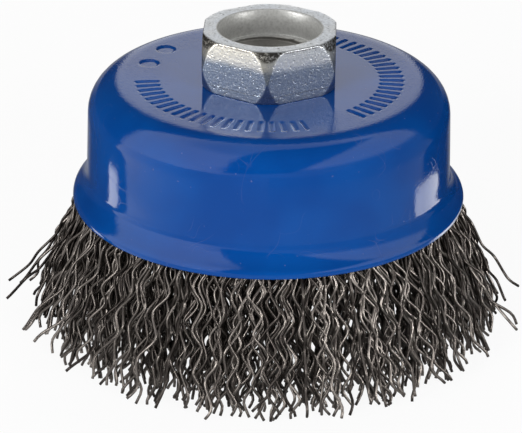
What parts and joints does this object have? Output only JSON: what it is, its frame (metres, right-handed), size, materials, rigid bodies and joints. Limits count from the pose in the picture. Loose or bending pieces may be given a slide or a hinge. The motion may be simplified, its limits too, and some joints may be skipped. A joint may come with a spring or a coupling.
{
  "type": "wire cup brush",
  "caption": "Crimped wire cup brush: pressed steel cup with a threaded hexagonal arbor nut and a flared ring of crimped steel wire.",
  "frame": {"origin": "on the spindle axis, at the plane that the longest wire tips stand on", "axes": "+Z along the spindle axis, from the wire tips towards the nut; two flats of the nut face +X and -X, and two corners point to +Y and -Y"},
  "size_m": [0.0921, 0.0866, 0.0522],
  "materials": {
    "blue_enamel": "gloss",
    "zinc_plate": "satin",
    "plain_steel": "satin",
    "crimped_wire": "satin"
  },
  "bodies": {
    "root": {"outer_cup": "blue_enamel", "arbor_nut": "zinc_plate", "retaining_cup": "plain_steel", "holding_ring": "plain_steel", "wire_group_01": "crimped_wire", "wire_group_02": "crimped_wire", "wire_group_03": "crimped_wire", "wire_group_04": "crimped_wire", "wire_group_05": "crimped_wire", "wire_group_06": "crimped_wire", "wire_group_07": "crimped_wire", "wire_group_08": "crimped_wire", "wire_group_09": "crimped_wire", "wire_group_10": "crimped_wire", "wire_group_11": "crimped_wire", "wire_group_12": "crimped_wire", "wire_group_13": "crimped_wire", "wire_group_14": "crimped_wire", "wire_group_15": "crimped_wire", "wire_group_16": "crimped_wire", "wire_group_17": "crimped_wire", "wire_group_18": "crimped_wire", "wire_group_19": "crimped_wire", "wire_group_20": "crimped_wire", "wire_group_21": "crimped_wire", "wire_group_22": "crimped_wire", "wire_group_23": "crimped_wire", "wire_group_24": "crimped_wire"}
  },
  "joints": []
}
